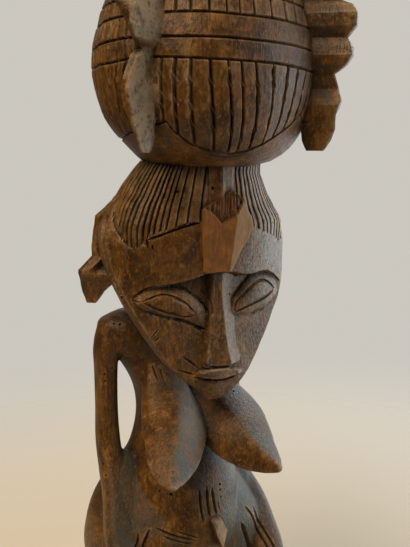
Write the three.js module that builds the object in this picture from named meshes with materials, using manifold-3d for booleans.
// Seated figure, carved from one block of wood, with a great ball of dressed hair on the head.
// Millimetres. +Z is up, -Y is the front, and the base stands on z = 0.
import * as THREE from "three";
import { mergeVertices } from "three/addons/utils/BufferGeometryUtils.js";
import Module from "manifold-3d";

// Base and stool
const BASE_HALF_WIDTH = 66;
const BASE_HALF_DEPTH = 80;
const BASE_HEIGHT = 15;
const BASE_BEVEL = 2.5;
const BASE_SIDES = 32;
const BASE_SQUARENESS = 3.4;
const STOOL_TOP = 90;
const STOOL_RADIUS = 45;
const STOOL_WAIST = 34;
const STOOL_Y = 26;

// Ball of hair: height, radius and the y of its middle
const BALL_ROWS = [
  [384.6, 30, -22],
  [387, 39.5, -23.5],
  [390, 45, -25.5],
  [399, 54.4, -28],
  [405, 58.8, -27.6],
  [420, 65.8, -25.8],
  [430, 68.6, -24.2],
  [443.2, 70.6, -22.8],
  [444.8, 70.7, -22.7],
  [454.2, 70.8, -22.3],
  [455.8, 70.7, -22.3],
  [469.2, 69, -22],
  [470.8, 68.7, -22],
  [483.2, 65.2, -22],
  [484.8, 64.2, -22],
  [498, 57.8, -22],
  [509, 52.8, -22],
  [519, 44.4, -22],
  [527, 34, -22],
  [532.5, 20, -22],
];
const BALL_TOP = 535;
const BALL_COLUMNS = 80;
const BALL_SIDE_SWELL = 1;
const PANEL_TOP = 444;
const FRONT_LINES_FROM = 470;
const CROWN_FROM = 505;
const PANEL_HALF_ANGLE = 44;
const PANEL_BOTTOM = 396;
const PANEL_BOTTOM_RISE = 14;
const SIDE_BOTTOM = 403;
const FLUTE_DEPTH = 1.7;
const LINE_DEPTH = 1.2;
const LINE_HEIGHTS = [444.8, 455.8, 470.8, 484.8];

// Plaits of the ball: height, inner reach, outer reach and half width
const BALL_PLAIT_ANGLES = [44, -52];
const BALL_PLAIT_FOOT = -20;
const BALL_PLAIT = [
  [393.8, 71.5, 81, 2.4],
  [399.5, 69.3, 83.8, 3],
  [415, 66.5, 87.7, 5],
  [425.6, 62, 90.4, 6.4],
  [433, 60, 88.6, 7],
  [439.7, 58, 84.2, 6],
  [445.2, 58, 93.3, 9],
  [450.9, 58, 95, 10.4],
  [456, 58, 89.5, 8.6],
  [460.8, 58, 85.5, 6.6],
  [466, 58, 93, 9],
  [470.6, 58, 97.8, 10.8],
  [477.5, 56, 96.4, 9.8],
  [481.5, 54, 86.5, 6.6],
  [487, 52, 92, 9.4],
  [493, 50, 92.4, 10],
  [498, 46, 81.6, 6.6],
  [503, 42, 84, 8.8],
  [508, 38, 80, 8],
  [513, 34, 66, 6],
];
const PLAIT_CHAMFER = 0.55;

// Fluted hair under the ball: share of the way up, half width, front y and back y
const HAIR_COLUMNS = 84;
const HAIR_TOP = 389;
const HAIR_DEPTH = 1.3;
const HAIR_THICKNESS = 1.6;
const HAIR_SHARES = [0, 0.06, 0.5, 1];
const HAIRLINE = [
  [0, 347],
  [26, 344.5],
  [46, 337.5],
  [54, 337.5],
  [70, 356],
  [100, 350],
  [140, 320],
  [180, 312],
];

// Head: height, half width at the mask edge, y of the edge, y of the middle of the face, y of the back
const HEAD_ROWS = [
  [232.5, 6, -37.5, -38, -31],
  [237, 11.5, -38.5, -40.2, -26],
  [242.5, 17, -39.6, -41.6, -20],
  [247, 21, -40, -42, -14],
  [251.5, 25, -39.6, -41.6, -8],
  [257.4, 30, -38.6, -40.6, 0],
  [259.4, 31.6, -38.3, -40.2, 3],
  [268, 37.6, -37, -39, 14],
  [278, 43.8, -35, -38, 24],
  [288, 49.4, -32.8, -37.2, 31],
  [298, 54.8, -30.4, -37, 35],
  [306, 58.2, -27.6, -37.6, 38],
  [309.5, 59.6, -26.4, -44, 39],
  [318, 62.4, -22, -49.4, 40],
  [328, 64.6, -18.4, -51.2, 40.4],
  [338, 65.2, -16.6, -52, 40],
  [350, 63.4, -13.6, -52.8, 37.5],
  [362, 59.6, -11.8, -53.4, 33],
  [374, 53, -13.6, -53.8, 25],
  [384, 46.4, -17.6, -53.8, 16],
  [391, 41, -21.4, -52, 9],
];
const UNDER_HAIR_FROM = 360;
const UNDER_HAIR_INSET = 5;
const FACE_SHARES = [0.16, 0.34, 0.54, 0.72, 0.88, 1];
const SIDE_PLANE = 15;
const BACK_STEPS = 5;
const BROW_HEIGHT = 309.5;

// Nose: height, half width and y of its flat front
const NOSE_ROWS = [
  [259.4, 9, -44.4],
  [268, 7.6, -44.2],
  [278, 6.2, -44],
  [288, 5, -43.8],
  [298, 4.2, -43.6],
  [306, 3.8, -43.6],
  [309.5, 3.8, -45.6],
];
const NOSE_SPREAD = 2.4;

// Eyes and lips
const EYE = { x: 31, y: -34.4, z: 297.4, length: 19, depth: 5.4, height: 6.6, tilt: 0.29 };
const LIPS = { halfWidth: 15.6, front: -45, back: -36, middle: 250.2, gap: 0.7, upper: 5.6, lower: 5.2 };

// Broken stub of the crest on the forehead
const STUB = {
  apex: [0, -57.9, 371],
  peak: [0, -59.3, 356],
  shoulder: [18.6, -56, 358],
  foot: [12.2, -51.4, 320.5],
  footRidge: [0, -55.7, 322],
  rootY: -40,
};

// Hair ridge between the stub and the ball
const RIDGE = { halfWidth: 7.6, front: -56, bottom: 366, top: 386 };

// Plaits of the head: height, inner reach, outer reach and half width
const HEAD_PLAIT_ANGLE = 125;
const HEAD_PLAIT = [
  [292.2, 73.2, 79.6, 4],
  [300, 67.5, 82, 5.4],
  [309.2, 60, 83, 6.4],
  [315.2, 50, 83.3, 7],
  [325.6, 44, 74.1, 7.4],
  [338.6, 42, 73.5, 7.6],
  [352.7, 40, 70.7, 7.4],
  [366, 36, 56, 6],
];

// Neck: height, half width, half depth, y of the middle
const NECK_ROWS = [
  [266, 29, 22, 33],
  [284, 25, 20, 30],
  [304, 24, 21, 22],
  [330, 26, 24, 14],
];

// Torso: height, half width, front y, back y, squareness
const TORSO_ROWS = [
  [86, 62, -24, 78, 2.6],
  [101, 68, -30, 81, 2.6],
  [120, 66, -30, 82, 2.5],
  [136, 60, -28, 81, 2.4],
  [147, 53, -21, 78, 2.4],
  [160, 44, -14, 72, 2.3],
  [174, 35, -6, 64, 2.2],
  [190, 28.4, 4, 60, 2.2],
  [209, 25.4, 11, 59, 2.2],
  [228, 29, 11.5, 60, 2.3],
  [243, 37, 12, 61, 2.5],
  [258, 49, 13, 60.5, 2.8],
  [272, 55, 15, 57, 3],
  [280, 53, 18, 53, 3],
  [285, 45, 22, 48, 2.6],
];
const TORSO_COLUMNS = 20;

// Belly: round column down the front, with the standing navel
const BELLY_ROWS = [
  [108, 38, -32, 50, 2],
  [122, 39, -35, 50, 2],
  [138, 38, -34.5, 46, 2],
  [150, 36.6, -32, 44, 2],
  [160, 35.6, -29.6, 42, 2],
  [172, 33.6, -25.6, 42, 2],
  [182, 30.6, -18, 42, 2],
  [192, 26, -7, 42, 2],
  [204, 21, 5, 42, 2],
];
const NAVEL = { base: [0, -25, 153], tip: [0, -50.5, 133], radius: 11 };

// Breasts: middle of each section, half width and half height
const LEFT_BREAST_ROWS = [
  [[25, 22, 222], 14, 14],
  [[27, 4, 213], 16, 16],
  [[27.5, -14, 204], 17.5, 17],
  [[28.4, -30, 197], 17.5, 15.5],
  [[31.6, -44, 191.5], 13, 11.6],
  [[35.6, -55, 188.5], 7.4, 6.6],
  [[38.4, -61.6, 187], 2.2, 2],
];
const RIGHT_BREAST_ROWS = [
  [[-20, 22, 222], 10, 12],
  [[-20.4, 4, 213], 13.5, 14],
  [[-19.8, -14, 205], 17.6, 16],
  [[-21.8, -30, 198], 19.6, 16],
  [[-27.6, -44, 192], 15.6, 12],
  [[-34.4, -55, 188.5], 8.4, 7],
  [[-38.4, -61.6, 187], 2.2, 2],
];
const BREAST_SIDES = 8;
const BREAST_SQUARENESS = 1.55;

// Arm: middle of each section, half width and half thickness
const ARM_ROWS = [
  [[46, 35, 277], 8, 12],
  [[49.6, 35, 264], 8.2, 12],
  [[49.8, 35.4, 240], 7.6, 10.4],
  [[50, 35, 212], 7.4, 10],
  [[50, 32, 190], 7.6, 9.6],
  [[49.4, 26, 172], 8, 9.6],
  [[50.6, 15, 153], 9.4, 11],
  [[54, 0, 136], 10.6, 11],
  [[55.6, -14, 121], 11, 9.6],
  [[55, -26, 109], 11.6, 7.6],
  [[53, -35, 99], 10.6, 5.4],
];
const LEFT_ARM_DRAWN_IN = 4;
const ARM_DRAWN_IN_BELOW = 212;
const ARM_SIDES = 10;
const ARM_SQUARENESS = 2.7;

// Leg: middle of each section, half width and half thickness
const THIGH_ROWS = [
  [[34, 34, 90], 26, 21],
  [[38, 4, 91], 24, 20],
  [[40, -26, 91], 21, 18.4],
  [[41, -46, 89], 18, 17],
  [[41, -60, 86], 13, 13],
];
const SHIN_ROWS = [
  [[41, -47, 94], 14, 13],
  [[41, -49, 72], 14.4, 15],
  [[41, -46, 46], 13, 14.4],
  [[41, -44, 26], 11.4, 12.4],
  [[41, -45, 12], 12.4, 14],
];
const FOOT_ROWS = [
  [[41, -30, 17], 10, 8],
  [[41, -48, 18.4], 12, 9.4],
  [[41, -62, 17], 13.4, 7],
  [[41, -71, 15.6], 12.6, 5],
];
const LEG_SIDES = 10;
const LEG_SQUARENESS = 2.4;

const SMALLEST_DETAIL = 0.2;
const WOOD_COLOUR = 0x6f4f33;
const WOOD_ROUGHNESS = 0.5;

const wasm = await Module();
wasm.setup();

const radians = (degrees) => (degrees * Math.PI) / 180;

// Value of a column of a table at a height between two of its rows
function between(table, height, column) {
  if (height <= table[0][0]) return table[0][column];
  for (let i = 1; i < table.length; i += 1) {
    const low = table[i - 1];
    const high = table[i];
    if (height <= high[0]) {
      const share = (height - low[0]) / (high[0] - low[0]);
      return low[column] + share * (high[column] - low[column]);
    }
  }
  return table[table.length - 1][column];
}

// Closed skin over a stack of rings that all have the same number of points
function skin(rings, firstPoint, lastPoint) {
  const sides = rings[0].length;
  const middle = (ring) => ring.reduce((sum, p) => sum.add(p), new THREE.Vector3()).divideScalar(sides);
  const points = rings.flat();
  const first = points.length;
  points.push(firstPoint ?? middle(rings[0]));
  points.push(lastPoint ?? middle(rings[rings.length - 1]));
  const faces = [];
  for (let i = 0; i < sides; i += 1) {
    const next = (i + 1) % sides;
    faces.push(first, next, i);
    for (let row = 0; row < rings.length - 1; row += 1) {
      const low = row * sides;
      const high = low + sides;
      faces.push(low + i, low + next, high + next);
      faces.push(low + i, high + next, high + i);
    }
    const top = (rings.length - 1) * sides;
    faces.push(first + 1, top + i, top + next);
  }
  const geometry = new THREE.BufferGeometry();
  const coordinates = points.flatMap((p) => [p.x, p.y, p.z]);
  geometry.setAttribute("position", new THREE.Float32BufferAttribute(coordinates, 3));
  geometry.setIndex(faces);
  return geometry;
}

// Closed solid for joining, with its faces turned outward
function solid(geometry) {
  const bare = geometry.clone();
  bare.deleteAttribute("normal");
  bare.deleteAttribute("uv");
  const merged = mergeVertices(bare, 1e-4);
  const vertProperties = new Float32Array(merged.attributes.position.array);
  const triVerts = new Uint32Array(merged.index.array);
  const body = new wasm.Manifold(new wasm.Mesh({ numProp: 3, vertProperties, triVerts }));
  if (body.volume() > 0) return body;
  const turned = triVerts.slice();
  for (let i = 0; i < turned.length; i += 3) {
    turned[i] = triVerts[i + 1];
    turned[i + 1] = triVerts[i];
  }
  return new wasm.Manifold(new wasm.Mesh({ numProp: 3, vertProperties, triVerts: turned }));
}

// Point of a rounded outline with half sizes a and b; squareness 2 is an ellipse
function rounded(angle, a, b, squareness) {
  const c = Math.cos(angle);
  const s = Math.sin(angle);
  const power = 2 / squareness;
  return [a * Math.sign(c) * Math.abs(c) ** power, b * Math.sign(s) * Math.abs(s) ** power];
}

// Limb along its section middles, each section square to the run and level across
function limb(rows, sides, squareness) {
  const path = new THREE.CatmullRomCurve3(rows.map((row) => new THREE.Vector3(...row[0])));
  const rings = rows.map((row, i) => {
    const run = path.getTangent(i / (rows.length - 1));
    const across = new THREE.Vector3(1, 0, 0).addScaledVector(run, -run.x).normalize();
    const through = new THREE.Vector3().crossVectors(run, across);
    return Array.from({ length: sides }, (_, k) => {
      const [a, b] = rounded((k / sides) * 2 * Math.PI, row[1], row[2], squareness);
      return new THREE.Vector3(...row[0]).addScaledVector(across, a).addScaledVector(through, b);
    });
  });
  return solid(skin(rings));
}

// Level sections stacked up the body
function stack(rows, columns) {
  const rings = rows.map(([z, halfWidth, front, back, squareness]) => {
    const middle = (front + back) / 2;
    return Array.from({ length: columns }, (_, k) => {
      const angle = (k / columns) * 2 * Math.PI;
      const [x, y] = rounded(angle, halfWidth, (back - front) / 2, squareness);
      return new THREE.Vector3(x, middle + y, z);
    });
  });
  return solid(skin(rings));
}

// Plait standing out from the head at an angle round it from the front
function plait(rows, angle) {
  const out = new THREE.Vector3(Math.sin(radians(angle)), -Math.cos(radians(angle)), 0);
  const across = new THREE.Vector3(-out.y, out.x, 0);
  const rings = rows.map(([z, inner, outer, half]) => {
    const shoulder = outer - half * PLAIT_CHAMFER;
    const crest = half * (1 - PLAIT_CHAMFER);
    const outline = [
      [inner, -half],
      [shoulder, -half],
      [outer, -crest],
      [outer, crest],
      [shoulder, half],
      [inner, half],
    ];
    return outline.map(([reach, aside]) => {
      const point = new THREE.Vector3(0, BALL_PLAIT_FOOT, z);
      return point.addScaledVector(out, reach).addScaledVector(across, aside);
    });
  });
  return solid(skin(rings));
}

// Depth of the carving on the ball at a column and a height
function ballCarving(column, z) {
  const turn = ((column + 0.5) / BALL_COLUMNS) * 360 - 180;
  const round = Math.abs(turn);
  const grooved = column % 2 === 0;
  const inFront = round < PANEL_HALF_ANGLE;
  const rise = PANEL_BOTTOM_RISE * (round / PANEL_HALF_ANGLE) ** 2;
  const bottom = inFront ? PANEL_BOTTOM + rise : SIDE_BOTTOM;
  const linesFrom = inFront ? FRONT_LINES_FROM : PANEL_TOP;
  if (LINE_HEIGHTS.includes(z)) return LINE_DEPTH + (grooved && z > linesFrom ? 0.4 : 0);
  if (!grooved || z < bottom || z > CROWN_FROM) return 0;
  if (z < PANEL_TOP) return FLUTE_DEPTH;
  return z > linesFrom ? LINE_DEPTH : 0;
}

// Ball of hair with its panels of flutes, bands and squares
function ball() {
  const rings = BALL_ROWS.map(([z, radius, middle]) =>
    Array.from({ length: BALL_COLUMNS }, (_, column) => {
      const angle = radians(((column + 0.5) / BALL_COLUMNS) * 360 - 180);
      const swell = BALL_SIDE_SWELL * (1 - Math.cos(angle)) * 0.5;
      const reach = radius + swell - ballCarving(column, z);
      return new THREE.Vector3(reach * Math.sin(angle), middle - reach * Math.cos(angle), z);
    }),
  );
  return solid(skin(rings, undefined, new THREE.Vector3(0, BALL_ROWS[BALL_ROWS.length - 1][2], BALL_TOP)));
}

// Outline of the head at a height: mask-flat face, sharp edge, side plane and rounded back
function headRing(z) {
  const inset = z > UNDER_HAIR_FROM ? UNDER_HAIR_INSET : 0;
  const halfWidth = between(HEAD_ROWS, z, 1) - inset;
  const edgeY = between(HEAD_ROWS, z, 2) + inset;
  const faceY = between(HEAD_ROWS, z, 3) + inset;
  const backY = between(HEAD_ROWS, z, 4) - inset;
  const hasNose = z >= NOSE_ROWS[0][0] && z <= BROW_HEIGHT;
  const noseHalf = between(NOSE_ROWS, z, 1);
  const noseY = hasNose ? between(NOSE_ROWS, z, 2) : faceY;
  const half = [];
  half.push([0, noseY]);
  half.push([Math.min(noseHalf, halfWidth * 0.5), noseY]);
  const root = Math.min(noseHalf + NOSE_SPREAD, halfWidth * 0.62);
  const bulge = z > BROW_HEIGHT - 1 ? 2 : 2.6;
  const faceAt = (x) => edgeY + (faceY - edgeY) * (1 - (x / halfWidth) ** bulge);
  half.push([root, faceAt(root)]);
  for (const share of FACE_SHARES) {
    const x = root + share * (halfWidth - root);
    half.push([x, faceAt(x)]);
  }
  const sideDepth = Math.min(SIDE_PLANE, (backY - edgeY) * 0.5);
  const turnY = edgeY + sideDepth;
  half.push([halfWidth * 0.975, turnY]);
  for (let i = 1; i < BACK_STEPS; i += 1) {
    const angle = (i / BACK_STEPS) * 0.5 * Math.PI;
    half.push([halfWidth * 0.975 * Math.cos(angle), turnY + (backY - turnY) * Math.sin(angle)]);
  }
  const right = half.slice(1).reverse().map(([x, y]) => new THREE.Vector3(-x, y, z));
  const left = half.map(([x, y]) => new THREE.Vector3(x, y, z));
  return [...right, ...left];
}

function head() {
  return solid(skin(HEAD_ROWS.map((row) => headRing(row[0]))));
}

// Fluted hair from the hairline up to the ball
function hair() {
  const outline = (z, angle, lift) => {
    const halfWidth = between(HEAD_ROWS, z, 1) + lift;
    const front = between(HEAD_ROWS, z, 3) - lift;
    const back = between(HEAD_ROWS, z, 4) + lift;
    const widest = between(HEAD_ROWS, z, 2) + SIDE_PLANE * 0.5;
    const reachY = Math.cos(angle) > 0 ? widest - front : back - widest;
    return new THREE.Vector3(halfWidth * Math.sin(angle), widest - reachY * Math.cos(angle), z);
  };
  const rings = HAIR_SHARES.map((share, row) =>
    Array.from({ length: HAIR_COLUMNS }, (_, column) => {
      const angle = ((column + 0.5) / HAIR_COLUMNS) * 360 - 180;
      const low = between(HAIRLINE, Math.abs(angle), 1);
      const z = low + share * (HAIR_TOP - low);
      const lift = row === 0 ? -3 : HAIR_THICKNESS;
      const cut = column % 2 === 0 && row > 0 ? HAIR_DEPTH : 0;
      return outline(z, radians(angle), lift - cut);
    }),
  );
  return solid(skin(rings));
}

// Eyeball under its lid, set aslant
function eye() {
  const geometry = new THREE.SphereGeometry(1, 10, 6);
  geometry.scale(EYE.length, EYE.depth, EYE.height);
  geometry.rotateY(-EYE.tilt);
  geometry.translate(EYE.x, EYE.y, EYE.z);
  return solid(geometry);
}

// One lip as a flat-fronted band, arched away from the mouth line by its height
function lip(height) {
  const { halfWidth, front, back, middle, gap } = LIPS;
  const inner = Math.sign(height) * gap;
  const shape = new THREE.Shape();
  shape.moveTo(-halfWidth, inner);
  shape.lineTo(halfWidth, inner);
  shape.lineTo(halfWidth * 0.62, height * 0.8);
  shape.lineTo(0, height);
  shape.lineTo(-halfWidth * 0.62, height * 0.8);
  const geometry = new THREE.ExtrudeGeometry(shape, { depth: back - front, bevelEnabled: false });
  geometry.rotateX(Math.PI / 2);
  geometry.translate(0, back, middle);
  return solid(geometry);
}

// Five-sided stub with a ridge down its face and a slanted broken top
function stub() {
  const { apex, peak, shoulder, foot, footRidge, rootY } = STUB;
  const outline = [
    apex,
    shoulder,
    foot,
    footRidge,
    [-foot[0], foot[1], foot[2]],
    [-shoulder[0], shoulder[1], shoulder[2]],
  ];
  const front = outline.map((p) => new THREE.Vector3(...p));
  const root = outline.map((p) => new THREE.Vector3(p[0], rootY, p[2]));
  return solid(skin([root, front], undefined, new THREE.Vector3(...peak)));
}

function ridge() {
  const { halfWidth, front, bottom, top } = RIDGE;
  const geometry = new THREE.BoxGeometry(halfWidth * 2, 16, top - bottom);
  geometry.translate(0, front + 8, (top + bottom) / 2);
  return solid(geometry);
}

// Right arm is the mirror of these rows; the left forearm lies closer to the body
function arms() {
  const left = ARM_ROWS.map(([[x, y, z], halfWidth, halfThickness]) => {
    const share = Math.min(1, Math.max(0, (ARM_DRAWN_IN_BELOW - z) / 40));
    return [[x - LEFT_ARM_DRAWN_IN * share, y, z], halfWidth, halfThickness];
  });
  const right = limb(ARM_ROWS, ARM_SIDES, ARM_SQUARENESS).mirror([1, 0, 0]);
  return [limb(left, ARM_SIDES, ARM_SQUARENESS), right];
}

function neck() {
  const rows = NECK_ROWS.map(([z, halfWidth, halfDepth, y]) => {
    return [z, halfWidth, y - halfDepth, y + halfDepth, 2];
  });
  return stack(rows, 14);
}

function navel() {
  const base = new THREE.Vector3(...NAVEL.base);
  const tip = new THREE.Vector3(...NAVEL.tip);
  const run = tip.clone().sub(base);
  const geometry = new THREE.ConeGeometry(NAVEL.radius, run.length(), 8);
  const turn = new THREE.Quaternion().setFromUnitVectors(new THREE.Vector3(0, 1, 0), run.normalize());
  geometry.applyQuaternion(turn);
  const middle = base.add(tip).multiplyScalar(0.5);
  geometry.translate(middle.x, middle.y, middle.z);
  return solid(geometry);
}

// Low base with rounded corners and a small bevel
function base() {
  const rows = [
    [0, 0],
    [BASE_HEIGHT - BASE_BEVEL, 0],
    [BASE_HEIGHT, BASE_BEVEL],
  ];
  const sections = rows.map(([z, inset]) => {
    const depth = BASE_HALF_DEPTH - inset;
    return [z, BASE_HALF_WIDTH - inset, -depth, depth, BASE_SQUARENESS];
  });
  return stack(sections, BASE_SIDES);
}

// Round stool with a drawn-in waist
function stool() {
  const low = BASE_HEIGHT - 3;
  const waist = (low + STOOL_TOP) / 2;
  const profile = [
    new THREE.Vector2(0, low),
    new THREE.Vector2(STOOL_RADIUS, low),
    new THREE.Vector2(STOOL_RADIUS, low + 12),
    new THREE.Vector2(STOOL_WAIST, waist - 8),
    new THREE.Vector2(STOOL_WAIST, waist + 8),
    new THREE.Vector2(STOOL_RADIUS, STOOL_TOP - 14),
    new THREE.Vector2(STOOL_RADIUS, STOOL_TOP),
    new THREE.Vector2(0, STOOL_TOP),
  ];
  const geometry = new THREE.LatheGeometry(profile, 18);
  geometry.rotateX(Math.PI / 2);
  geometry.translate(0, STOOL_Y, 0);
  return solid(geometry);
}

const oneSided = [
  eye(),
  plait(HEAD_PLAIT, HEAD_PLAIT_ANGLE),
  limb(THIGH_ROWS, LEG_SIDES, LEG_SQUARENESS),
  limb(SHIN_ROWS, LEG_SIDES, LEG_SQUARENESS),
  limb(FOOT_ROWS, LEG_SIDES, LEG_SQUARENESS),
];
const middles = [
  ...BALL_PLAIT_ANGLES.map((angle) => plait(BALL_PLAIT, angle)),
  base(),
  stool(),
  stack(TORSO_ROWS, TORSO_COLUMNS),
  stack(BELLY_ROWS, 16),
  navel(),
  ...arms(),
  limb(LEFT_BREAST_ROWS, BREAST_SIDES, BREAST_SQUARENESS),
  limb(RIGHT_BREAST_ROWS, BREAST_SIDES, BREAST_SQUARENESS),
  neck(),
  head(),
  lip(LIPS.upper),
  lip(-LIPS.lower),
  hair(),
  ridge(),
  stub(),
  ball(),
];
const mirrored = oneSided.map((body) => body.mirror([1, 0, 0]));
const figure = wasm.Manifold.union([...middles, ...oneSided, ...mirrored]).simplify(SMALLEST_DETAIL);

// One mesh of the whole carving
function meshFrom(body, name) {
  const mesh = body.getMesh();
  const geometry = new THREE.BufferGeometry();
  geometry.setAttribute("position", new THREE.BufferAttribute(new Float32Array(mesh.vertProperties), 3));
  geometry.setIndex(new THREE.BufferAttribute(new Uint32Array(mesh.triVerts), 1));
  geometry.computeVertexNormals();
  const material = new THREE.MeshStandardMaterial({
    color: WOOD_COLOUR,
    roughness: WOOD_ROUGHNESS,
    metalness: 0,
    flatShading: true,
  });
  const result = new THREE.Mesh(geometry, material);
  result.name = name;
  return result;
}

const group = new THREE.Group();
group.name = "seated_figure_part";
group.add(meshFrom(figure, "seated_figure"));
export default group;
